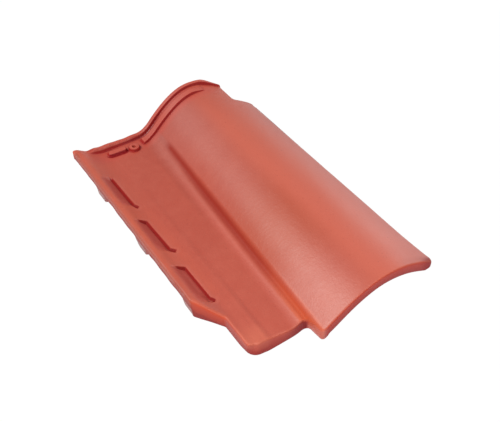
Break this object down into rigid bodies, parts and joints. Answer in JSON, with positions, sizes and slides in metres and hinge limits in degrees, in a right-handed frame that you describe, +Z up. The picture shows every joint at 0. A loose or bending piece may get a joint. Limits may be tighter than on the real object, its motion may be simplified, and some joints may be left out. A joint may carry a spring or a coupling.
{
  "type": "clay roof tile",
  "caption": "Interlocking clay roof tile with a flat pan, a rounded roll, a raised water lip with drain pockets, a ribbed head with a nail hole and hanging nibs.",
  "frame": {"origin": "middle of the tile's footprint, on the floor it lies on", "axes": "+Y from the tail to the ribbed head, +X from the water lip to the covering edge of the roll, +Z up from the floor; the tile leans on its covering edge as it lies unheld"},
  "size_m": [0.2458, 0.4018, 0.0666],
  "materials": {
    "clay": "unglazed fired red clay, satin, with a fine grain"
  },
  "bodies": {
    "root": {"roof_tile": "clay"}
  },
  "joints": []
}
